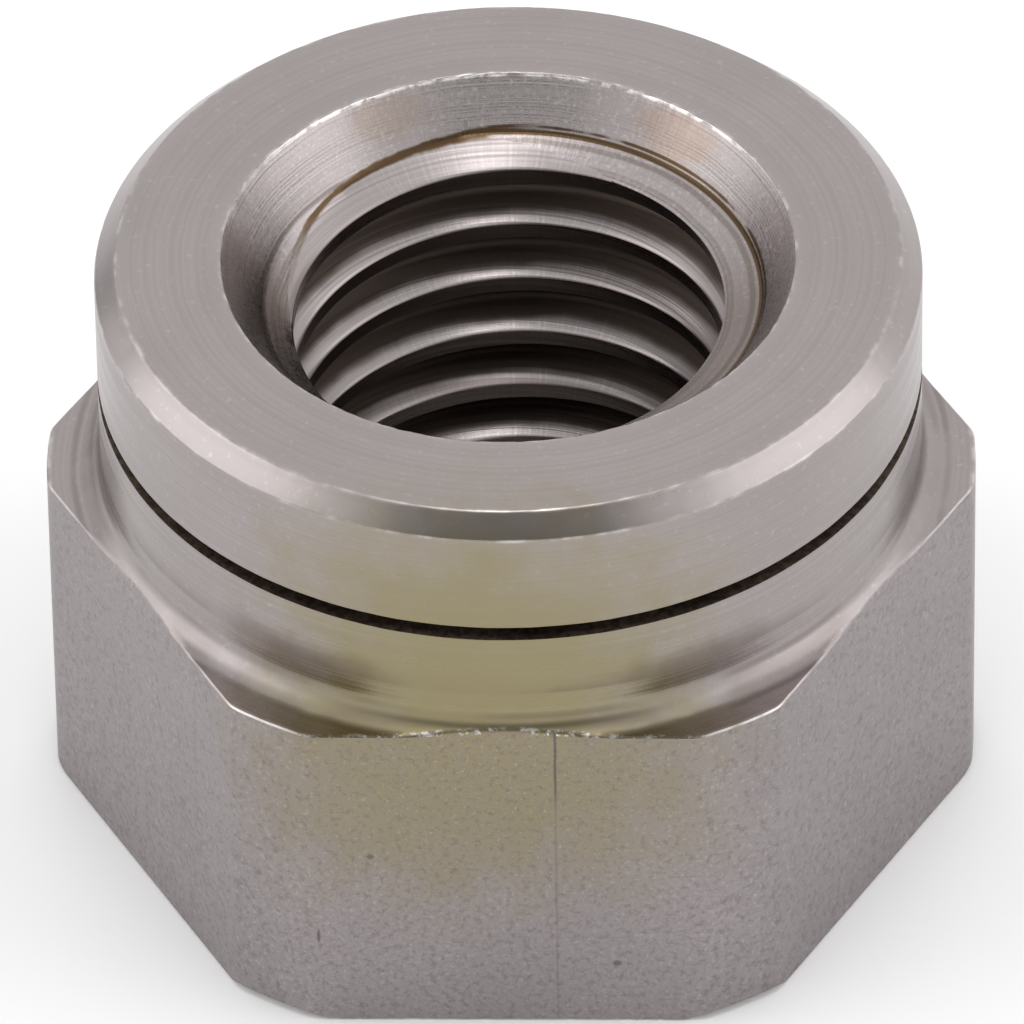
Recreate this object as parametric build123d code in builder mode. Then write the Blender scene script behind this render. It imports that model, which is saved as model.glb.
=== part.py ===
from build123d import *
import os
from math import radians, tan

# Left-hand metric thread, nominal size and pitch. The bore is the thread's crest wall,
# which lies the crest drop (in pitches) under the nominal size, plus its allowance.
thread_diameter = 7.0
thread_pitch = 1.0
crest_drop = 1.0825
crest_allowance = 0.18

# Hexagon base. The bar's corners are turned round, so they stop short of sharp.
across_flats = 12.0
hex_height = 5.35
corner_stand = 0.6
corner_blend = 0.5
base_edge_break = 0.12

# Round locking collar above the hexagon, inset from the flats
collar_height = 3.75
collar_inset = 0.17
collar_top_chamfer = 0.3
collar_foot_fillet = 0.4
shoulder_share = 0.9  # most of the shoulder's width that the fillet may take

# Countersinks of the bore: clearances over the thread's diameter and included angles.
# A shallow lead-in cone joins the foot of the top one to the thread.
top_rim_clearance = 1.1
top_foot_clearance = 0.14
top_rim_angle = 68.0
lead_in_angle = 140.0
base_rim_clearance = 0.4
base_rim_angle = 90.0

# Saw slit across the front of the collar, which lets the collar pinch the thread
slit_width = 0.23
slit_above_hex = 1.64
slit_past_axis = 0.6

# Radii and heights that follow from the sizes above
bore_radius = (thread_diameter - crest_drop * thread_pitch + crest_allowance) / 2
flat_radius = across_flats / 2
corner_radius = flat_radius + corner_stand
collar_radius = flat_radius - collar_inset
nut_height = hex_height + collar_height
foot_fillet = min(collar_foot_fillet, shoulder_share * (corner_radius - collar_radius))
top_rim_radius = (thread_diameter + top_rim_clearance) / 2
top_foot_radius = (thread_diameter + top_foot_clearance) / 2
base_rim_radius = (thread_diameter + base_rim_clearance) / 2
top_foot_height = nut_height - (top_rim_radius - top_foot_radius) / tan(radians(top_rim_angle / 2))
lead_in_height = top_foot_height - (top_foot_radius - bore_radius) / tan(radians(lead_in_angle / 2))
base_rim_depth = (base_rim_radius - bore_radius) / tan(radians(base_rim_angle / 2))

with BuildPart() as lock_nut:
    # Turned blank: the half section is walked from the base, up the outside and down the bore
    with BuildSketch(Plane.XZ):
        with BuildLine():
            base_to_shoulder = Polyline(
                (base_rim_radius, 0),
                (corner_radius - base_edge_break, 0),
                (corner_radius, base_edge_break),
                (corner_radius, hex_height),
                (collar_radius + foot_fillet, hex_height),
            )
            foot = RadiusArc(
                base_to_shoulder @ 1,
                (collar_radius, hex_height + foot_fillet),
                foot_fillet,
            )
            Polyline(
                foot @ 1,
                (collar_radius, nut_height - collar_top_chamfer),
                (collar_radius - collar_top_chamfer, nut_height),
                (top_rim_radius, nut_height),
                (top_foot_radius, top_foot_height),
                (bore_radius, lead_in_height),
                (bore_radius, base_rim_depth),
                (base_rim_radius, 0),
            )
        make_face()
    revolve(axis=Axis.Z)

    # Six milled flats, one square to the front
    with BuildSketch(Plane.XY):
        RegularPolygon(radius=flat_radius, side_count=6, major_radius=False)
    extrude(amount=nut_height, mode=Mode.INTERSECT)

    # The flats run softly into the turned corners
    flat_ends = lock_nut.edges().filter_by(Axis.Z).filter_by(
        lambda edge: edge.length > hex_height / 2
        and edge.center().X ** 2 + edge.center().Y ** 2 > collar_radius**2
    )
    fillet(flat_ends, corner_blend)

    # Saw slit, open at the front and both sides, with a hinge of metal left at the back
    slit_run = corner_radius + slit_past_axis
    with BuildSketch(Plane.XY.offset(hex_height + slit_above_hex)):
        with Locations((0, slit_past_axis - slit_run / 2)):
            Rectangle(2 * corner_radius, slit_run)
    extrude(amount=slit_width, mode=Mode.SUBTRACT)

lock_nut.part.label = "lock_nut"

os.makedirs("parts", exist_ok=True)
export_step(lock_nut.part, "parts/lock_nut.step")
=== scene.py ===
from math import atan2, cos, hypot, pi, radians, sin, sqrt, tan

import bmesh
import bpy
from mathutils import Matrix, Vector, noise


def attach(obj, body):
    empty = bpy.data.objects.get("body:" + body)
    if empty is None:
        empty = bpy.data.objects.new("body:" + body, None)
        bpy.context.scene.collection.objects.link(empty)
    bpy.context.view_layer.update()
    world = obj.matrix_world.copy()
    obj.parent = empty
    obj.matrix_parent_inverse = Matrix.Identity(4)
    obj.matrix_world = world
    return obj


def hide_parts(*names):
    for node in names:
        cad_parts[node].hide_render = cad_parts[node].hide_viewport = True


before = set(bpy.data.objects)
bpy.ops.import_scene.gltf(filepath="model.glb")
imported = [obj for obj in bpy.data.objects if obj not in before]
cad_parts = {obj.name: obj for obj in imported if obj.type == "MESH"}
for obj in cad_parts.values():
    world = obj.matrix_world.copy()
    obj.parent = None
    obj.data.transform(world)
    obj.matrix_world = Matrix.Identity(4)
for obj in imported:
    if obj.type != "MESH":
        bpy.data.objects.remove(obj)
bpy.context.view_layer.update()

MM = 0.001

# Sizes in millimetres, the same as the solid's
FLAT = 6.0
CORNER = 6.6
CORNER_BLEND = 0.5
BASE_BREAK = 0.12
SHOULDER = 5.35
COLLAR = 5.83
FOOT_FILLET = 0.4
TOP = 9.1
TOP_CHAMFER = 0.3
TOP_RIM = 4.05
RIM_FOOT_RADIUS = 3.57
RIM_FOOT = 8.3884
LEAD_IN = 8.1987
BASE_RIM = 3.7
SLIT_LOW = 6.99
SLIT_HIGH = 7.22
SLIT_BACK = 0.6

# Thread: left-hand, so its crests sink as they turn anticlockwise. CREST_HEIGHT is the height
# of a crest's upper corner at turn 0; a crest is flat for CREST_FLAT under that corner.
PITCH = 1.0
CREST = 3.04875
ROOT = 3.545
CREST_FLAT = 0.25
CREST_HEIGHT = 8.369
FLANK_SLOPE = tan(radians(30))

# A sharp edge is broken this far on each side, and the mesh has one more row BESIDE times as far
EDGE = 0.012
BESIDE = 2.5

# Other rows of the mesh: radii across the base and the top, heights up the collar, and into how
# many steps the hexagon's face and the foot fillet are divided
BASE_ROWS = (4.4, 5.1, 5.6)
TOP_ROWS = (5.2, 4.8, 4.4)
COLLAR_ROWS = (6.1, 6.45, 6.8, SLIT_LOW - 0.05, SLIT_HIGH + 0.05, 7.6, 8.0, 8.4, 8.7)
WALL_ROWS = 9
FILLET_ROWS = 9
CLOSEST_COLUMNS = radians(0.35)  # an even column nearer than this to another is left out
HALVINGS = 24  # how often a search for the place where two cuts meet halves its range
MERGE_DISTANCE = 4e-4 * MM  # points closer together than this become one
SHARP_ANGLE = radians(33)  # an edge that turns by more than this is shaded sharp

# Edges of the top that handling has worn: (radius, height, deepest wear)
WORN_EDGES = (
    (TOP_RIM, TOP, 0.03),
    (COLLAR - TOP_CHAMFER, TOP, 0.012),
    (COLLAR, TOP - TOP_CHAMFER, 0.008),
)

# Wear of the edge round the shoulder, down and inwards, and how near to the shoulder it reaches
SHOULDER_DROP = 0.014
SHOULDER_SHRINK = 0.010
NEAR_SHOULDER = 0.12

# The slitting saw's path: how far it reaches past the nut, its slow wander and its fine chatter,
# and the squares that its faces are divided into
SAW_PAST_NUT = 0.6
SAW_WANDER = 0.007
SAW_CHATTER = 0.004
SAW_ACROSS = 70
SAW_ALONG = 40

# How far a sawn face may lie from the slit's true faces, and from its end
SLIT_SLACK = 0.03
SLIT_END_SLACK = 0.02


# Shape of the nut


def roughly(x, y, z, fineness, seed=0.0):
    """An even, repeatable roughness from -1 to 1 at a point in millimetres."""
    return noise.noise(Vector((x * fineness + seed, y * fineness - seed, z * fineness + 2 * seed)))


# Middle of the round blend between a flat and a turned corner, out from the axis and along the
# flat, and the turns off the flat's middle between which the blend runs
BLEND_OUT = FLAT - CORNER_BLEND
BLEND_ALONG = sqrt((CORNER - CORNER_BLEND) ** 2 - BLEND_OUT**2)
BLEND_START = atan2(BLEND_ALONG, FLAT)
BLEND_END = atan2(BLEND_ALONG, BLEND_OUT)


def hexagon_reach(turn):
    """Distance from the axis to the hexagon's outline: flat, soft blend, turned corner."""
    off = abs((turn + pi / 2 + pi / 6) % (pi / 3) - pi / 6)
    if off <= BLEND_START:
        return FLAT / cos(off)
    if off >= BLEND_END:
        return CORNER
    along = BLEND_OUT * cos(off) + BLEND_ALONG * sin(off)
    aside = BLEND_ALONG * cos(off) - BLEND_OUT * sin(off)
    return along + sqrt(max(0.0, CORNER_BLEND**2 - aside**2))


def shoulder_height(reach):
    """Height of the turned shoulder and foot fillet at this distance from the axis."""
    centre = COLLAR + FOOT_FILLET
    if reach >= centre:
        return SHOULDER
    return SHOULDER + FOOT_FILLET - sqrt(max(0.0, FOOT_FILLET**2 - (centre - reach) ** 2))


def broken_corner(before, corner, after):
    """Rows for a corner whose edge is broken, with a row close by on each side of the break."""
    corner = Vector(corner)
    back, forward = (Vector(before) - corner).normalized(), (Vector(after) - corner).normalized()
    rows = [corner + back * BESIDE * EDGE, corner + back * EDGE]
    rows += [corner + forward * EDGE, corner + forward * BESIDE * EDGE]
    return [tuple(row) for row in rows]


def outside_profile(turn):
    """Points (radius, height) from the base's rim out, up and in to the foot of the countersink."""
    reach = hexagon_reach(turn)
    base_break = max(3 * EDGE, reach - (CORNER - BASE_BREAK))
    base = (BASE_RIM, BASE_RIM + 2 * EDGE, *BASE_ROWS, reach - base_break)
    points = [(radius, 0.0) for radius in base] + [(reach, base_break)]
    wall = shoulder_height(reach) - 2 * EDGE - base_break
    points += [(reach, base_break + wall * row / WALL_ROWS) for row in range(1, WALL_ROWS + 1)]
    inner = reach - 2 * EDGE
    points.append((inner, shoulder_height(inner)))
    foot = min(inner, COLLAR + FOOT_FILLET)
    points += [((inner + foot) / 2, shoulder_height((inner + foot) / 2)), (foot, shoulder_height(foot))]
    # Foot fillet, from where it leaves the shoulder or the flat up to the collar
    start = atan2(shoulder_height(foot) - SHOULDER - FOOT_FILLET, foot - COLLAR - FOOT_FILLET)
    start = -pi / 2 if foot >= COLLAR + FOOT_FILLET else start
    for row in range(1, FILLET_ROWS + 1):
        angle = start + (-pi - start) * row / FILLET_ROWS
        points.append((COLLAR + FOOT_FILLET * (1 + cos(angle)), SHOULDER + FOOT_FILLET * (1 + sin(angle))))
    points += [(COLLAR, height) for height in COLLAR_ROWS]
    chamfer_foot, chamfer_top = (COLLAR, TOP - TOP_CHAMFER), (COLLAR - TOP_CHAMFER, TOP)
    rim, rim_foot = (TOP_RIM, TOP), (RIM_FOOT_RADIUS, RIM_FOOT)
    points += broken_corner((COLLAR, SHOULDER), chamfer_foot, chamfer_top)
    points += [(COLLAR - TOP_CHAMFER / 2, TOP - TOP_CHAMFER / 2)]
    points += broken_corner(chamfer_foot, chamfer_top, rim)
    points += [(radius, TOP) for radius in TOP_ROWS]
    points += broken_corner(chamfer_top, rim, rim_foot)
    for share in (0.25, 0.5, 0.75, 1.0):
        points.append((TOP_RIM + (RIM_FOOT_RADIUS - TOP_RIM) * share, TOP + (RIM_FOOT - TOP) * share))
    return points


# One pitch of the thread, going down from a crest's upper corner: (drop, radius). The flanks
# are straight and run into a round root.
SHARP_ROOT = CREST + (PITCH - CREST_FLAT) / 2 / FLANK_SLOPE
ROOT_ROUND = SHARP_ROOT - ROOT
TURN_KNOTS = [(-BESIDE * EDGE, CREST + BESIDE * EDGE / FLANK_SLOPE)]
TURN_KNOTS += [(-EDGE, CREST + EDGE / FLANK_SLOPE), (EDGE, CREST), (BESIDE * EDGE, CREST)]
TURN_KNOTS += [(CREST_FLAT - drop, radius) for drop, radius in reversed(TURN_KNOTS)]
for swing in (-60, -30, 0, 30, 60):
    root_drop = (CREST_FLAT + PITCH) / 2 + ROOT_ROUND * sin(radians(swing))
    TURN_KNOTS.append((root_drop, ROOT - ROOT_ROUND * (1 - cos(radians(swing)))))

# Between two of these knots that lie further apart than this there is one more row
WIDE_STEP = 6 * EDGE
TURN_STEPS = []
for knot, following in zip(TURN_KNOTS, TURN_KNOTS[1:] + [(TURN_KNOTS[0][0] + PITCH, 0.0)]):
    TURN_STEPS.append(knot[0])
    if following[0] - knot[0] > WIDE_STEP:
        TURN_STEPS.append((knot[0] + following[0]) / 2)

# Turns of the thread that the mesh's rows follow, and how many of them start above the nut
TURNS = 13
TURNS_ABOVE = 2

# On the left the countersink runs on down to the first crest's flank, in two cones that meet
# here. Between these turns the groove opens out to its full depth.
CARRIED_RADIUS = 3.443
CARRIED_HEIGHT = 8.2
CARRIED_SLOPES = (0.6745, 1.16)
OPENING = (radians(222), radians(262))


def thread_radius(drop):
    """Radius of the thread this far under a crest's upper corner."""
    first_drop, first_radius = TURN_KNOTS[0]
    drop = first_drop + (drop - first_drop) % PITCH
    knots = TURN_KNOTS + [(first_drop + PITCH, first_radius)]
    for (d0, r0), (d1, r1) in zip(knots, knots[1:]):
        if drop <= d1:
            break
    return r0 + (r1 - r0) * (drop - d0) / (d1 - d0)


def countersunk_radius(height):
    """Radius of the lead-in cone at the top or of the base's countersink at this height."""
    lead_in = CREST + (RIM_FOOT_RADIUS - CREST) * (height - LEAD_IN) / (RIM_FOOT - LEAD_IN)
    return max(lead_in, BASE_RIM - height)


def carried_radius(height):
    """Radius of the countersink carried on down past its foot, as it is on the left."""
    below = height - CARRIED_HEIGHT
    return CARRIED_RADIUS + min(below * slope for slope in CARRIED_SLOPES)


def bore_surface(turn, height):
    """Radius of the bore at this place, and which cut made it."""
    first_crest = CREST_HEIGHT - PITCH * turn / (2 * pi)
    thread, sunk = thread_radius(first_crest - height), countersunk_radius(height)
    full = max(thread, sunk)
    cut = "thread" if thread > sunk else "sunk"
    opened = min(1.0, max(0.0, (turn - OPENING[0]) / (OPENING[1] - OPENING[0])))
    if height <= first_crest or opened == 1.0:
        return full, cut
    flank = CREST + (height - first_crest) / FLANK_SLOPE
    carried = max(CREST, carried_radius(height))
    closed = max(sunk, min(flank, carried))
    if closed > sunk:
        cut = "thread" if flank < carried else "carried"
    elif opened == 0.0:
        cut = "sunk"
    opened = opened * opened * (3 - 2 * opened)
    return closed + (full - closed) * opened, cut


def bore_profile(turn):
    """Points (radius, height) of the threaded bore from the top countersink to the base's rim."""
    top_crest = CREST_HEIGHT + TURNS_ABOVE * PITCH - PITCH * turn / (2 * pi)
    heights = [top_crest - PITCH * n - drop for n in range(TURNS) for drop in TURN_STEPS]
    heights = [min(RIM_FOOT, max(0.0, height)) for height in heights]
    cuts = [bore_surface(turn, height)[1] for height in heights]
    for row in range(len(heights) - 1):
        if cuts[row] == cuts[row + 1] or heights[row] == heights[row + 1]:
            continue
        # Two cuts meet between these rows, and the row that isn't on the thread goes there
        over, under = heights[row], heights[row + 1]
        for _ in range(HALVINGS):
            middle = (over + under) / 2
            if bore_surface(turn, middle)[1] == cuts[row]:
                over = middle
            else:
                under = middle
        heights[row if cuts[row] != "thread" else row + 1] = (over + under) / 2
    return [(bore_surface(turn, height)[0], height) for height in heights]


def turns_of_the_columns():
    """Angles of the mesh's columns: one a degree, and four across each end of a flat."""
    soft = []
    for face in range(6):
        middle = -pi / 2 + face * pi / 3
        for side in (-1, 1):
            for share in (0.0, 1 / 3, 2 / 3, 1.0):
                soft.append((middle + side * (BLEND_START + share * (BLEND_END - BLEND_START))) % (2 * pi))
    even = [radians(step) for step in range(360)]
    even = [turn for turn in even if min(abs(turn - other) for other in soft) > CLOSEST_COLUMNS]
    return sorted(soft + even)


def handled(radius, height, turn):
    """The small wear that turning, drilling and handling leave on edges, only ever inwards."""
    x, y = radius * cos(turn), radius * sin(turn)
    for edge_radius, edge_height, depth in WORN_EDGES:
        if hypot(radius - edge_radius, height - edge_height) < 3 * EDGE:
            ragged = abs(roughly(x, y, height, fineness=5.0, seed=edge_radius)) ** 1.5
            height -= depth * ragged
    if abs(height - SHOULDER) < NEAR_SHOULDER and radius > COLLAR + FOOT_FILLET / 2:
        height -= SHOULDER_DROP * abs(roughly(x, y, 0, fineness=3.5, seed=4.0))
        radius -= SHOULDER_SHRINK * abs(roughly(x, y, 0, fineness=4.5, seed=9.0))
    return radius, min(max(height, 0.0), TOP)


def put_in_scene(name, data):
    """An object with this mesh, lamp or camera, linked to the scene."""
    piece = bpy.data.objects.new(name, data)
    bpy.context.scene.collection.objects.link(piece)
    return piece


def closed_surface(name):
    """The whole nut as one closed mesh, without its slit."""
    turns = turns_of_the_columns()
    per_turn = len(TURN_STEPS)
    points, columns = [], []
    for turn in turns:
        profile = outside_profile(turn) + bore_profile(turn)
        column = []
        for radius, height in profile:
            radius, height = handled(radius, height, turn)
            column.append(len(points))
            points.append((radius * cos(turn) * MM, radius * sin(turn) * MM, height * MM))
        columns.append(column)
    outside_rows = len(outside_profile(0.0))
    bore_rows = len(columns[0]) - outside_rows
    faces = []
    for here, column in enumerate(columns):
        following = columns[(here + 1) % len(columns)]
        if here == len(columns) - 1:
            # The thread has sunk by one pitch over the whole turn
            following = following[:outside_rows] + [
                following[outside_rows + min(row + per_turn, bore_rows - 1)] for row in range(bore_rows)
            ]
        for row in range(len(column) - 1):
            faces.append((column[row], following[row], following[row + 1], column[row + 1]))
    mesh = bpy.data.meshes.new(name)
    mesh.from_pydata(points, [], faces)
    shape = bmesh.new()
    shape.from_mesh(mesh)
    bmesh.ops.remove_doubles(shape, verts=shape.verts, dist=MERGE_DISTANCE)
    bmesh.ops.dissolve_degenerate(shape, edges=shape.edges, dist=MERGE_DISTANCE)
    bmesh.ops.recalc_face_normals(shape, faces=shape.faces)
    shape.to_mesh(mesh)
    shape.free()
    return put_in_scene(name, mesh)


def saw_blade_path(name):
    """The slab of metal that the slitting saw takes out, with its faintly uneven faces."""
    shape = bmesh.new()
    reach = CORNER + SAW_PAST_NUT
    corners = {}
    for layer, height in enumerate((SLIT_LOW, SLIT_HIGH)):
        for i in range(SAW_ACROSS + 1):
            for j in range(SAW_ALONG + 1):
                x = -reach + 2 * reach * i / SAW_ACROSS
                y = -reach + (SLIT_BACK + reach) * j / SAW_ALONG
                wander = SAW_WANDER * roughly(x, y, height, fineness=1.8, seed=5.0)
                chatter = SAW_CHATTER * roughly(x, y, height, fineness=6.0, seed=1.0)
                place = (x * MM, y * MM, (height + wander + chatter) * MM)
                corners[layer, i, j] = shape.verts.new(place)

    def square(*places):
        shape.faces.new([corners[place] for place in places])

    for i in range(SAW_ACROSS):
        for j in range(SAW_ALONG):
            square((1, i, j), (1, i + 1, j), (1, i + 1, j + 1), (1, i, j + 1))
            square((0, i, j), (0, i, j + 1), (0, i + 1, j + 1), (0, i + 1, j))
    back, side = SAW_ALONG, SAW_ACROSS
    for i in range(SAW_ACROSS):
        square((0, i, 0), (0, i + 1, 0), (1, i + 1, 0), (1, i, 0))
        square((0, i, back), (1, i, back), (1, i + 1, back), (0, i + 1, back))
    for j in range(SAW_ALONG):
        square((0, 0, j), (1, 0, j), (1, 0, j + 1), (0, 0, j + 1))
        square((0, side, j), (0, side, j + 1), (1, side, j + 1), (1, side, j))
    bmesh.ops.recalc_face_normals(shape, faces=shape.faces)
    mesh = bpy.data.meshes.new(name)
    shape.to_mesh(mesh)
    shape.free()
    return put_in_scene(name, mesh)


def saw_the_slit(nut):
    """Cuts the slit and keeps the result as the nut's own mesh."""
    blade = saw_blade_path("saw_path")
    cut = nut.modifiers.new("slit", "BOOLEAN")
    cut.operation = "DIFFERENCE"
    cut.solver = "MANIFOLD"
    cut.object = blade
    graph = bpy.context.evaluated_depsgraph_get()
    mesh = bpy.data.meshes.new_from_object(nut.evaluated_get(graph))
    nut.modifiers.clear()
    nut.data = mesh
    bpy.data.objects.remove(blade)


# Finishes


def add_node(tree, kind, inputs=None, **settings):
    """A node of this kind; its inputs are given as values or as sockets to link from."""
    node = tree.nodes.new(kind)
    for name, value in settings.items():
        setattr(node, name, value)
    for name, value in (inputs or {}).items():
        if isinstance(value, bpy.types.NodeSocket):
            tree.links.new(value, node.inputs[name])
        else:
            node.inputs[name].default_value = value
    return node


def maths(tree, operation, first, second=0.0, third=0.0, clamp=False):
    """One sum, product, comparison or the like, and its result."""
    values = {0: first, 1: second, 2: third}
    node = add_node(tree, "ShaderNodeMath", values, operation=operation, use_clamp=clamp)
    return node.outputs[0]


def plus(tree, first, second):
    return maths(tree, "ADD", first, second)


def minus(tree, first, second):
    return maths(tree, "SUBTRACT", first, second)


def times(tree, first, second):
    return maths(tree, "MULTIPLY", first, second)


def vector_maths(tree, operation, first, second):
    """One sum, share or the like of two places or directions."""
    node = add_node(tree, "ShaderNodeVectorMath", {0: first, 1: second}, operation=operation)
    return node.outputs["Vector"]


def fade(tree, value, start, end, low=0.0, high=1.0):
    """value is taken smoothly from low at start to high at end."""
    values = {"Value": value, "From Min": start, "From Max": end, "To Min": low, "To Max": high}
    node = add_node(tree, "ShaderNodeMapRange", values, interpolation_type="SMOOTHSTEP")
    return node.outputs["Result"]


def mottle(tree, place, fineness, detail=2.0, roughness=0.5):
    """Cloudy variation from 0 to 1, about 0.5."""
    values = {"Vector": place, "Scale": fineness, "Detail": detail, "Roughness": roughness}
    return add_node(tree, "ShaderNodeTexNoise", values).outputs["Fac"]


def bands(tree, along, detail, roughness):
    """Uneven bands from 0 to 1, each about one unit wide along this value."""
    values = {"W": along, "Scale": 1.0, "Detail": detail, "Roughness": roughness}
    return add_node(tree, "ShaderNodeTexNoise", values, noise_dimensions="1D").outputs["Fac"]


def tint(tree, mask, under, over):
    """The colour over laid on the colour under where the mask says."""
    values = {"Factor": mask, 6: under, 7: over}
    return add_node(tree, "ShaderNodeMix", values, data_type="RGBA").outputs[2]


def new_group(name, inputs, outputs):
    """An empty node group with these inputs {name: value} and outputs, and their sockets."""
    tree = bpy.data.node_groups.new(name, "ShaderNodeTree")
    for label, value in inputs.items():
        kind = "NodeSocketVector" if isinstance(value, tuple) else "NodeSocketFloat"
        socket = tree.interface.new_socket(label, in_out="INPUT", socket_type=kind)
        socket.default_value = value
    for label in outputs:
        tree.interface.new_socket(label, in_out="OUTPUT", socket_type="NodeSocketFloat")
    return tree, tree.nodes.new("NodeGroupInput").outputs, tree.nodes.new("NodeGroupOutput").inputs


def in_millimetres(tree):
    """A place on the nut in millimetres, its distance from the axis, and its x, y and z."""
    place = add_node(tree, "ShaderNodeTexCoord").outputs["Object"]
    scale = add_node(tree, "ShaderNodeVectorMath", {0: place, 3: 1 / MM}, operation="SCALE")
    scaled = scale.outputs["Vector"]
    parts = add_node(tree, "ShaderNodeSeparateXYZ", {0: scaled}).outputs
    square = plus(tree, times(tree, parts[0], parts[0]), times(tree, parts[1], parts[1]))
    return scaled, maths(tree, "SQRT", square), parts


# Turned lines: how many there are upwards for each one outwards, and how many broad lines for
# each fine one. A patch fades away between Ends and this value less Ends.
LINES_UPWARDS = 1.37
BROAD_LINES = 0.22
PATCH_FADE = 1.7


def turning_lines_group():
    """Fine and broad lines that a lathe tool leaves round the axis."""
    inputs = {"Lines Per Mm": 12.0, "Wander": 0.03}
    tree, given, result = new_group("turning_lines", inputs, ["Lines", "Broad"])
    place, radius, parts = in_millimetres(tree)
    wander = times(tree, mottle(tree, place, 0.9, 1.0), given["Wander"])
    along = plus(tree, plus(tree, radius, times(tree, parts[2], LINES_UPWARDS)), wander)
    for label, share in (("Lines", 1.0), ("Broad", BROAD_LINES)):
        step = times(tree, along, times(tree, given["Lines Per Mm"], share))
        tree.links.new(bands(tree, step, 3.0, 0.6), result[label])
    return tree


def chatter_group():
    """Close marks across the cut, as a tool leaves when it shivers on its way round."""
    tree, given, result = new_group("chatter_marks", {"Marks Per Mm": 10.0, "Reach": 3.3}, ["Marks"])
    place, _, parts = in_millimetres(tree)
    along = times(tree, maths(tree, "ARCTAN2", parts[1], parts[0]), given["Reach"])
    along = plus(tree, along, times(tree, mottle(tree, place, 2.5, 1.0), 0.06))
    step = times(tree, along, given["Marks Per Mm"])
    tree.links.new(bands(tree, step, 2.0, 0.55), result["Marks"])
    return tree


def grain_group():
    """Fine matt speckle, faint up-and-down draw marks and broad cloudiness."""
    inputs, outputs = {"Fineness": 14.0, "Draw": 0.12}, ["Speckle", "Streaks", "Clouds"]
    tree, given, result = new_group("steel_grain", inputs, outputs)
    place, _, parts = in_millimetres(tree)
    tree.links.new(mottle(tree, place, given["Fineness"], 3.0, 0.65), result["Speckle"])
    stretched = {0: parts[0], 1: parts[1], 2: times(tree, parts[2], given["Draw"])}
    along_bar = add_node(tree, "ShaderNodeCombineXYZ", stretched).outputs[0]
    tree.links.new(mottle(tree, along_bar, 7.0, 3.0, 0.6), result["Streaks"])
    tree.links.new(mottle(tree, place, 0.55, 2.0), result["Clouds"])
    return tree


def rim_band_group():
    """Where a turned rim of this radius and height is marked, broken up along the rim."""
    inputs = {"Radius": 5.0, "Height": 5.0, "Width": 0.05, "Breaks": 4.0, "Cover": 0.5}
    tree, given, result = new_group("rim_band", inputs, ["Mask"])
    place, radius, parts = in_millimetres(tree)
    out = minus(tree, radius, given["Radius"])
    rise = minus(tree, parts[2], given["Height"])
    far = maths(tree, "SQRT", plus(tree, times(tree, out, out), times(tree, rise, rise)))
    near = maths(tree, "SUBTRACT", 1.0, maths(tree, "DIVIDE", far, given["Width"]), clamp=True)
    covered = plus(tree, mottle(tree, place, given["Breaks"], 3.0), given["Cover"])
    tree.links.new(times(tree, near, fade(tree, covered, 0.85, 1.15)), result["Mask"])
    return tree


def patch_group():
    """A soft, cloudy patch about a point on the nut, for stains, pits and painted reflection and shade."""
    inputs = {"Centre": (0.0, 0.0, 0.0), "Reach": (1.0, 1.0, 1.0)}
    inputs |= {"Raggedness": 0.5, "Breaks": 1.5, "Ends": 1.15}
    tree, given, result = new_group("soft_patch", inputs, ["Mask"])
    place = in_millimetres(tree)[0]
    away = vector_maths(tree, "SUBTRACT", place, given["Centre"])
    share = vector_maths(tree, "DIVIDE", away, given["Reach"])
    far = add_node(tree, "ShaderNodeVectorMath", {0: share}, operation="LENGTH").outputs["Value"]
    uneven = minus(tree, mottle(tree, place, given["Breaks"], 3.0, 0.6), 0.5)
    ragged = times(tree, uneven, given["Raggedness"])
    edge = plus(tree, far, ragged)
    mask = fade(tree, edge, given["Ends"], minus(tree, PATCH_FADE, given["Ends"]))
    tree.links.new(mask, result["Mask"])
    return tree


GROUPS = {
    "lines": turning_lines_group(),
    "chatter": chatter_group(),
    "grain": grain_group(),
    "rim": rim_band_group(),
    "patch": patch_group(),
}


def use(tree, group, **values):
    """Places a shared effect in a material with its own values, and returns its outputs."""
    node = tree.nodes.new("ShaderNodeGroup")
    node.node_tree = GROUPS[group]
    for name, value in values.items():
        node.inputs[name.replace("_", " ")].default_value = value
    return node.outputs


# Colours of bare steel, of what lies on it, and of painted highlight, reflection and shade
STEEL = (0.372, 0.335, 0.332, 1.0)
STEEL_CLOUDED = (0.352, 0.318, 0.314, 1.0)
STEEL_DARK = (0.285, 0.250, 0.248, 1.0)
# Bright steel for speckle, and painted highlight on rubbed edges and chatter marks
STEEL_BRIGHT = (0.62, 0.585, 0.575, 1.0)
# Painted highlight on edges, burrs and the countersink's rim
PAINTED_HIGHLIGHT = (0.85, 0.82, 0.81, 1.0)
DRAWN_STEEL = (0.350, 0.318, 0.322, 1.0)
DRAWN_STEEL_CLOUDED = (0.325, 0.298, 0.308, 1.0)
OLIVE = (0.29, 0.25, 0.14, 1.0)
RUST = (0.30, 0.155, 0.055, 1.0)
SWARF = (0.24, 0.18, 0.145, 1.0)
# Old oil, also laid on as painted shade
OLD_OIL_AND_SHADE = (0.115, 0.084, 0.066, 1.0)
SPECK = (0.13, 0.105, 0.10, 1.0)
# Painted shade in the thread's roots
ROOT_SHADE = (0.078, 0.056, 0.044, 1.0)
FOOT_BROWN = (0.095, 0.06, 0.032, 1.0)


def steel(name, colour, roughness, strength, relief, depth):
    """Gives the steel of this name its colour and roughness, and relief this many mm deep."""
    material = bpy.data.materials[name]
    tree = material.node_tree
    shader = tree.nodes["Principled BSDF"]
    shader.inputs["Metallic"].default_value = 1.0
    tree.links.new(colour, shader.inputs["Base Color"])
    tree.links.new(roughness, shader.inputs["Roughness"])
    values = {"Strength": strength, "Distance": depth * MM, "Height": relief}
    bump = add_node(tree, "ShaderNodeBump", values)
    tree.links.new(bump.outputs["Normal"], shader.inputs["Normal"])
    return material


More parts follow.
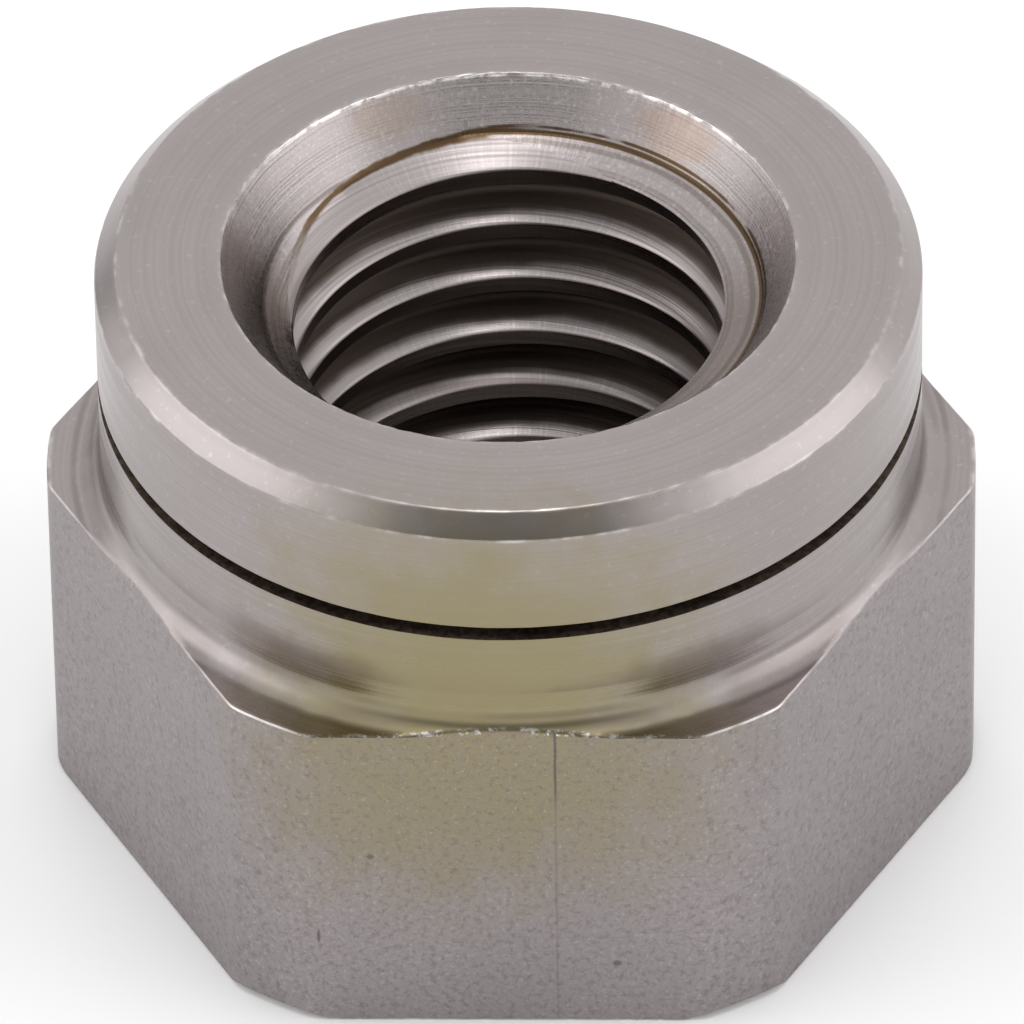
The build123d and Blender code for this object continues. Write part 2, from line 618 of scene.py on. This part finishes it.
def begin(name):
    """Starts a material of this name and returns its node tree."""
    material = bpy.data.materials.new(name)
    material.use_nodes = True
    return material.node_tree


# Middles and half widths of the pits and the scratch on the hexagon's faces
PITS = (
    ((4.93, -3.62, 2.9), (0.10, 0.10, 0.07)),
    ((5.15, -3.4, 4.75), (0.10, 0.10, 0.22)),
    ((1.55, -6.0, 1.1), (0.07, 0.1, 0.06)),
    ((-2.65, -6.0, 1.6), (0.03, 0.1, 0.14)),
    ((-1.9, -6.0, 3.1), (0.06, 0.1, 0.05)),
)

# Painted reflection, an olive tint on the front of the collar and the hexagon, and brown painted
# shade on either side of the collar's foot: (middle, reach, raggedness, strength, colour)
FRONT_REFLECTION_AND_SHADE = (
    ((-0.3, -6.0, 6.9), (3.6, 1.8, 2.4), 0.9, 0.85, OLIVE),
    ((-0.4, -6.1, 4.6), (3.7, 1.6, 2.4), 0.9, 0.9, OLIVE),
    ((-3.0, -4.95, 6.05), (1.5, 1.0, 0.36), 1.2, 0.45, OLD_OIL_AND_SHADE),
    ((2.8, -5.05, 6.05), (1.4, 1.0, 0.33), 1.2, 0.4, OLD_OIL_AND_SHADE),
)

# Rust spots in the countersink: (middle, reach, strength)
RUST_SPOTS = (
    ((2.3, 3.0, 8.8), (0.9, 0.7, 0.4), 0.3),
    ((-1.8, 3.4, 8.8), (0.8, 0.6, 0.35), 0.2),
)

# Rubbed edges with a painted highlight along them, and dark brown rings at the countersink's
# foot on the right: (radius, height, width, breaks, cover)
BRIGHT_EDGES = (
    (COLLAR - TOP_CHAMFER, TOP, 0.05, 2.2, 0.42),
    (COLLAR, TOP - TOP_CHAMFER, 0.04, 2.6, 0.42),
    (TOP_RIM, TOP, 0.05, 3.4, 0.42),
    (CORNER, SHOULDER, 0.09, 3.0, 0.55),
)
FOOT_RINGS = (
    (RIM_FOOT_RADIUS, RIM_FOOT, 0.055, 1.3, 0.8),
    (RIM_FOOT_RADIUS + 0.05, RIM_FOOT + 0.074, 0.035, 1.1, 0.55),
)

# Where the one drawn line down the front face stands
DRAWN_LINE = 0.725


def rim_mask(tree, radius, height, width, breaks, cover):
    """Where the rim of this radius and height has a painted highlight or a brown ring."""
    values = {"Radius": radius, "Height": height, "Width": width, "Breaks": breaks, "Cover": cover}
    return use(tree, "rim", **values)["Mask"]


def with_front_reflection_and_shade(tree, colour):
    """This colour with the front's olive painted reflection and brown painted shade laid on it."""
    for centre, reach, ragged, strength, painted_colour in FRONT_REFLECTION_AND_SHADE:
        values = {"Centre": centre, "Reach": reach, "Raggedness": ragged}
        mask = use(tree, "patch", **values, Breaks=1.3, Ends=1.45)["Mask"]
        colour = tint(tree, times(tree, mask, strength), colour, painted_colour)
    return colour


def turned_steel():
    """Collar, chamfer, top and fillet: lathe-turned, with fine lines round the axis."""
    tree = begin("turned_steel")
    lines = use(tree, "lines", Lines_Per_Mm=11.0, Wander=0.05)
    grain = use(tree, "grain", Fineness=9.0, Draw=0.5)
    place, _, parts = in_millimetres(tree)
    colour = tint(tree, fade(tree, grain["Clouds"], 0.3, 0.7), STEEL, STEEL_CLOUDED)
    colour = tint(tree, fade(tree, lines["Lines"], 0.62, 0.35, 0.0, 0.28), colour, STEEL_DARK)
    colour = tint(tree, fade(tree, grain["Speckle"], 0.58, 0.75, 0.0, 0.25), colour, STEEL_BRIGHT)
    # Painted olive reflection on the front and brown painted shade at the collar's foot
    colour = with_front_reflection_and_shade(tree, colour)
    # Painted highlights along the rubbed edges
    for edge in BRIGHT_EDGES:
        colour = tint(tree, rim_mask(tree, *edge), colour, STEEL_BRIGHT)
    # Painted shade in brown streaks round the foot of the collar, and painted glints on the rough
    # burr where the flats cut in
    streaks = times(tree, fade(tree, lines["Broad"], 0.48, 0.62), fade(tree, parts[2], 6.3, 5.9))
    streaks = times(tree, streaks, fade(tree, grain["Clouds"], 0.45, 0.6, 0.05, 0.35))
    colour = tint(tree, streaks, colour, OLD_OIL_AND_SHADE)
    cut_in = times(tree, fade(tree, parts[1], -5.92, -5.965), fade(tree, parts[2], 5.7, 5.6))
    burr_glints = fade(tree, mottle(tree, place, 9.0, 4.0, 0.7), 0.48, 0.62, 0.0, 0.8)
    colour = tint(tree, times(tree, cut_in, burr_glints), colour, PAINTED_HIGHLIGHT)
    roughness = fade(tree, lines["Broad"], 0.3, 0.7, 0.27, 0.36)
    return steel("turned_steel", colour, roughness, 0.35, lines["Lines"], 0.006)


def drawn_steel():
    """The hexagon's faces: drawn bar, dark matt speckle, faint upright marks, a few pits."""
    tree = begin("drawn_steel")
    grain = use(tree, "grain", Fineness=15.0, Draw=0.16)
    place, _, parts = in_millimetres(tree)
    colour = tint(tree, fade(tree, grain["Clouds"], 0.3, 0.7), DRAWN_STEEL, DRAWN_STEEL_CLOUDED)
    # Painted olive reflection and brown painted shade of the front, as on the collar
    colour = with_front_reflection_and_shade(tree, colour)
    colour = tint(tree, fade(tree, grain["Speckle"], 0.58, 0.34, 0.0, 0.6), colour, STEEL_DARK)
    colour = tint(tree, fade(tree, grain["Speckle"], 0.55, 0.7, 0.0, 0.3), colour, STEEL_BRIGHT)
    colour = tint(tree, fade(tree, grain["Streaks"], 0.6, 0.35, 0.0, 0.12), colour, STEEL_DARK)
    # Dark specks, closest together low on the faces
    specks = plus(tree, mottle(tree, place, 9.0, 4.0, 0.75), fade(tree, parts[2], 4.2, 1.2, 0.0, 0.03))
    specks = fade(tree, specks, 0.48, 0.70, 0.0, 0.42)
    colour = tint(tree, specks, colour, SPECK)
    # One drawn line down the front face, strong near the top
    drift = times(tree, mottle(tree, place, 1.5, 1.0), 0.03)
    off = maths(tree, "ABSOLUTE", minus(tree, plus(tree, parts[0], drift), DRAWN_LINE))
    line = times(tree, fade(tree, off, 0.028, 0.008), fade(tree, parts[1], -5.8, -5.9))
    line = times(tree, line, fade(tree, parts[2], 3.9, 4.5, 0.25, 0.8))
    colour = tint(tree, line, colour, SPECK)
    for centre, reach in PITS:
        mask = use(tree, "patch", Centre=centre, Reach=reach, Raggedness=0.7, Breaks=9.0)["Mask"]
        colour = tint(tree, times(tree, mask, 0.7), colour, SPECK)
    roughness = fade(tree, grain["Speckle"], 0.3, 0.7, 0.38, 0.5)
    relief = minus(tree, grain["Speckle"], specks)
    return steel("drawn_steel", colour, roughness, 0.5, relief, 0.006)


def foot_line(tree):
    """Mask of the dark brown line where, on the left, the countersink meets the first flank."""
    place, _, parts = in_millimetres(tree)
    turned = times(tree, maths(tree, "ARCTAN2", parts[1], parts[0]), PITCH / (2 * pi))
    rise = minus(tree, plus(tree, parts[2], turned), CREST_HEIGHT)
    flank = maths(tree, "MULTIPLY_ADD", rise, 1 / FLANK_SLOPE, CREST)
    below = minus(tree, parts[2], CARRIED_HEIGHT)
    slopes = [maths(tree, "MULTIPLY_ADD", below, slope, CARRIED_RADIUS) for slope in CARRIED_SLOPES]
    apart = maths(tree, "ABSOLUTE", minus(tree, flank, maths(tree, "MINIMUM", *slopes)))
    apart = times(tree, apart, fade(tree, below, 0.1, -0.04, 1.0, 2.6))
    ragged = maths(tree, "MULTIPLY_ADD", mottle(tree, place, 4.0, 3.0), 0.05, apart)
    line = fade(tree, ragged, 0.095, 0.055)
    # It is thick towards the back and thins out to spots on the far left
    line = times(tree, line, fade(tree, parts[1], 0.9, 2.0, 0.25, 1.0))
    line = times(tree, line, fade(tree, parts[1], 0.3, 0.9))
    return times(tree, line, fade(tree, parts[0], 0.7, -0.3))


def reamed_steel():
    """The countersink: chatter and fine lines, brown at its foot, with painted shade and highlights."""
    tree = begin("reamed_steel")
    lines = use(tree, "lines", Lines_Per_Mm=15.0, Wander=0.12)
    grain = use(tree, "grain", Fineness=15.0, Draw=1.0)
    marks = use(tree, "chatter", Marks_Per_Mm=14.0, Reach=3.5)["Marks"]
    _, radius, parts = in_millimetres(tree)
    colour = tint(tree, fade(tree, lines["Lines"], 0.6, 0.35, 0.0, 0.3), STEEL, STEEL_DARK)
    colour = tint(tree, fade(tree, grain["Speckle"], 0.52, 0.72, 0.0, 0.5), colour, STEEL_BRIGHT)
    for centre, reach, strength in RUST_SPOTS:
        mask = use(tree, "patch", Centre=centre, Reach=reach, Raggedness=0.9, Breaks=1.6)["Mask"]
        colour = tint(tree, times(tree, mask, strength), colour, RUST)
    low = fade(tree, radius, 3.62, 3.52, 0.0, 0.5)
    streaks = times(tree, fade(tree, lines["Broad"], 0.46, 0.62), low)
    colour = tint(tree, streaks, colour, OLD_OIL_AND_SHADE)
    # Painted shade on the lead-in's side towards the front
    dull = times(tree, fade(tree, radius, 3.62, 3.5), fade(tree, parts[1], 1.9, -0.6))
    colour = tint(tree, times(tree, dull, 0.55), colour, OLD_OIL_AND_SHADE)
    for ring in FOOT_RINGS:
        mask = times(tree, rim_mask(tree, *ring), fade(tree, parts[0], -0.8, 0.0))
        colour = tint(tree, fade(tree, mask, 0.0, 0.45), colour, FOOT_BROWN)
    colour = tint(tree, foot_line(tree), colour, FOOT_BROWN)
    # Painted shade on the near left of the countersink
    shaded = times(tree, fade(tree, parts[0], -2.9, -3.6), fade(tree, parts[1], 1.2, 0.2))
    colour = tint(tree, times(tree, shaded, 0.6), colour, OLD_OIL_AND_SHADE)
    # Painted highlights on the countersink's rim, strongest at the back
    mask = rim_mask(tree, TOP_RIM, TOP, 0.09, 7.0, 0.55)
    mask = times(tree, fade(tree, mask, 0.0, 0.6), fade(tree, parts[1], 1.6, 3.6, 0.15, 1.0))
    colour = tint(tree, mask, colour, PAINTED_HIGHLIGHT)
    roughness = fade(tree, grain["Speckle"], 0.3, 0.7, 0.24, 0.36)
    marked = times(tree, marks, fade(tree, parts[1], 1.8, 2.8))
    relief = plus(tree, lines["Lines"], times(tree, marked, 0.5))
    return steel("reamed_steel", colour, roughness, 0.5, relief, 0.008)


def threaded_steel():
    """The thread: painted glints on its chatter marks, painted shade in its roots and on its crest flats.
    """
    tree = begin("threaded_steel")
    lines = use(tree, "lines", Lines_Per_Mm=10.0, Wander=0.02)
    marks = use(tree, "chatter", Marks_Per_Mm=20.0, Reach=3.1)["Marks"]
    place, radius, parts = in_millimetres(tree)
    marked = times(tree, marks, fade(tree, parts[1], 1.9, 2.7))
    colour = tint(tree, fade(tree, lines["Lines"], 0.62, 0.38, 0.0, 0.3), STEEL, STEEL_DARK)
    # Chatter marks at the back painted brighter, as glints
    colour = tint(tree, fade(tree, marked, 0.45, 0.7, 0.0, 0.16), colour, STEEL_BRIGHT)
    colour = tint(tree, fade(tree, lines["Broad"], 0.5, 0.62, 0.0, 0.45), colour, OLD_OIL_AND_SHADE)
    # Painted shade in the roots and deep flanks below the first turn, where the crest above shadows them
    depth = plus(tree, radius, times(tree, mottle(tree, place, 1.1, 3.0), 0.16))
    low = fade(tree, parts[2], 8.1, 7.7)
    root_shade = times(tree, fade(tree, depth, CREST + 0.17, CREST + 0.34, 0.0, 0.93), low)
    colour = tint(tree, root_shade, colour, ROOT_SHADE)
    # Painted shade on the crest flats
    colour = tint(tree, fade(tree, radius, CREST + 0.02, CREST + 0.004, 0.0, 0.75), colour, OLD_OIL_AND_SHADE)
    colour = tint(tree, foot_line(tree), colour, FOOT_BROWN)
    # Painted shade at the front, where the first groove opens, as dark as the lead-in beside it
    dull = times(tree, fade(tree, parts[1], 0.0, -0.6), fade(tree, parts[2], 7.55, 7.7))
    dull = times(tree, dull, fade(tree, parts[0], 1.8, -0.2, 0.0, 0.55))
    colour = tint(tree, dull, colour, OLD_OIL_AND_SHADE)
    roughness = fade(tree, lines["Broad"], 0.3, 0.7, 0.24, 0.36)
    roughness = plus(tree, roughness, times(tree, root_shade, 0.25))
    relief = plus(tree, times(tree, lines["Lines"], 0.8), times(tree, marked, 0.3))
    return steel("threaded_steel", colour, roughness, 0.5, relief, 0.008)


def sawn_steel():
    """The slit's faces: dull, dark with swarf and oil."""
    tree = begin("sawn_steel")
    grain = use(tree, "grain", Fineness=8.0, Draw=1.0)
    colour = tint(tree, fade(tree, grain["Speckle"], 0.35, 0.65), OLD_OIL_AND_SHADE, SWARF)
    roughness = fade(tree, grain["Clouds"], 0.3, 0.7, 0.5, 0.65)
    return steel("sawn_steel", colour, roughness, 0.4, grain["Speckle"], 0.01)


def finish_of(centre, normal):
    """Which finish a face has, from its middle in millimetres and its direction."""
    reach = hypot(centre.x, centre.y)
    at_slit = SLIT_LOW - SLIT_SLACK < centre.z < SLIT_HIGH + SLIT_SLACK
    in_slit = at_slit and centre.y < SLIT_BACK + SLIT_END_SLACK
    at_end = normal.y < -0.9 and abs(centre.y - SLIT_BACK) < SLIT_END_SLACK
    if in_slit and (abs(normal.z) > 0.97 or at_end):
        return "sawn_steel"
    # A face on the limit between two finishes falls to the side of the small allowances here
    if reach < RIM_FOOT_RADIUS + 0.003 and centre.z < RIM_FOOT - 0.001:
        cut = bore_surface(atan2(centre.y, centre.x) % (2 * pi), centre.z)[1]
        return "threaded_steel" if cut == "thread" else "reamed_steel"
    if reach < TOP_RIM and centre.z > RIM_FOOT - 0.01:
        return "reamed_steel"
    if reach > COLLAR + 0.1 and abs(normal.z) < 0.5 and centre.z < SHOULDER + 0.09:
        return "drawn_steel"
    return "turned_steel"


def build_nut():
    """The nut with its slit, its five finishes and its sharp edges."""
    nut = closed_surface("lock_nut_body")
    saw_the_slit(nut)
    nut.data.materials.clear()
    order = {}
    for maker in (turned_steel, drawn_steel, reamed_steel, threaded_steel, sawn_steel):
        order[maker.__name__] = len(order)
        nut.data.materials.append(maker())
    shape = bmesh.new()
    shape.from_mesh(nut.data)
    bmesh.ops.remove_doubles(shape, verts=shape.verts, dist=MERGE_DISTANCE)
    shape.normal_update()
    for face in shape.faces:
        face.material_index = order[finish_of(face.calc_center_median() / MM, face.normal)]
        face.smooth = True
    shape.to_mesh(nut.data)
    shape.free()
    nut.data.set_sharp_from_angle(angle=SHARP_ANGLE)
    return nut


nut = build_nut()
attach(nut, "root")
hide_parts("lock_nut")


# Studio


# Lengths in metres. The world is white where it is seen or mirrored, and WORLD_LIGHT elsewhere.
FLOOR_REACH = 1.2
FLOOR_WHITE = 0.96
WORLD_LIGHT = 0.96
CARD_GREY = 0.1
CARD_DISTANCE = 0.5
MIDDLE = Vector((0.0, 0.0, 4.5 * MM))

# Soft lamps: degrees round and up, distance, width, height, and brightness, where 1 is white
LAMPS = {
    "lamp_left": (182, 28, 0.36, 0.30, 0.26, 1.05),
    "lamp_right": (-2, 28, 0.36, 0.30, 0.26, 1.05),
    "lamp_above": (90, 89, 0.45, 0.09, 0.28, 3.6),
}

# Dark cards that the chamfer mirrors at its front and at its far left: degrees round and up,
# half width and half height
CARDS = {
    "card_front": (-90, 45, 0.24, 0.10),
    "card_back": (131, 2, 0.10, 0.045),
}


def plain_sheet(name, place, half_wide, half_high, material):
    """A flat rectangle in the studio, facing up or towards the nut from this place."""
    ends = ((-1, -1), (1, -1), (1, 1), (-1, 1))
    mesh = bpy.data.meshes.new(name)
    corners = [place @ Vector((half_wide * x, half_high * y, 0)) for x, y in ends]
    mesh.from_pydata(corners, [], [(0, 1, 2, 3)])
    mesh.materials.append(material)
    sheet = put_in_scene(name, mesh)


def studio_material(name, grey):
    """A dull, colourless sheet material."""
    shader = begin(name).nodes["Principled BSDF"]
    shader.inputs["Base Color"].default_value = (grey, grey, grey, 1.0)
    shader.inputs["Roughness"].default_value = 0.8
    shader.inputs["Specular IOR Level"].default_value = 0.1
    return bpy.data.materials[name]


def direction(azimuth, elevation):
    """A unit vector at these degrees; azimuth 0 is +X and 90 is +Y."""
    turn, rise = radians(azimuth), radians(elevation)
    return Vector((cos(rise) * cos(turn), cos(rise) * sin(turn), sin(rise)))


def facing(azimuth, elevation, distance):
    """A place at this distance from the nut, turned to look at it."""
    away = direction(azimuth, elevation)
    spot = away.to_track_quat("Z", "Y").to_matrix().to_4x4()
    return Matrix.Translation(MIDDLE + away * distance) @ spot


def soft_lamp(name, azimuth, elevation, distance, width, height, brightness):
    """A soft box whose face has this brightness, where 1 is white."""
    lamp = bpy.data.lights.new(name, "AREA")
    lamp.shape = "RECTANGLE"
    lamp.size, lamp.size_y = width, height
    lamp.energy = brightness * pi * width * height
    put_in_scene(name, lamp).matrix_world = facing(azimuth, elevation, distance)


def light_the_studio():
    """The pale floor, the soft lamps and the dark cards."""
    floor_white = studio_material("floor_white", FLOOR_WHITE)
    plain_sheet("floor", Matrix.Identity(4), FLOOR_REACH, FLOOR_REACH, floor_white)
    for name, values in LAMPS.items():
        soft_lamp(name, *values)
    grey = studio_material("card_grey", CARD_GREY)
    for name, (azimuth, elevation, half_wide, half_high) in CARDS.items():
        place = facing(azimuth, elevation, CARD_DISTANCE)
        plain_sheet(name, place, half_wide, half_high, grey)


def surround_with_white():
    """A white world, which lights the nut a little less than it shows."""
    world = bpy.data.worlds.new("studio")
    bpy.context.scene.world = world
    world.use_nodes = True
    tree = world.node_tree
    path = add_node(tree, "ShaderNodeLightPath").outputs
    seen = maths(tree, "MAXIMUM", path["Is Camera Ray"], path["Is Glossy Ray"])
    seen = maths(tree, "MAXIMUM", seen, path["Is Transmission Ray"])
    strength = fade(tree, seen, 0.0, 1.0, WORLD_LIGHT, 1.0)
    background = tree.nodes["Background"]
    background.inputs["Color"].default_value = (1.0, 1.0, 1.0, 1.0)
    tree.links.new(strength, background.inputs["Strength"])


# The photograph's camera, in pixels of its 1024 frame and millimetres
PHOTO_FRAME = 1024.0
FOCAL_PIXELS = 16360.87
CAMERA_ELEVATION = 40.746
CAMERA_AZIMUTH = -88.4
CAMERA_ROLL = -0.906
CAMERA_DISTANCE = 233.1
CAMERA_AIM = Vector((0.0, 0.0, 4.318))


def place_the_camera():
    """A pinhole camera where the photograph was taken from."""
    turn, roll = radians(CAMERA_AZIMUTH), radians(CAMERA_ROLL)
    away = direction(CAMERA_AZIMUTH, CAMERA_ELEVATION)
    level = Vector((-sin(turn), cos(turn), 0.0))
    upright = away.cross(level)
    right = level * cos(roll) + upright * sin(roll)
    upward = upright * cos(roll) - level * sin(roll)
    camera = bpy.data.cameras.new("camera")
    camera.sensor_width = 36.0
    camera.lens = camera.sensor_width * FOCAL_PIXELS / PHOTO_FRAME
    camera.clip_start = 0.01
    camera.clip_end = 10.0
    holder = put_in_scene("camera", camera)
    turned = Matrix((right, upward, away)).transposed().to_4x4()
    holder.matrix_world = Matrix.Translation((CAMERA_AIM + away * CAMERA_DISTANCE) * MM) @ turned
    bpy.context.scene.camera = holder


light_the_studio()
surround_with_white()
place_the_camera()
bpy.context.scene.view_settings.view_transform = "Standard"

bpy.context.view_layer.update()
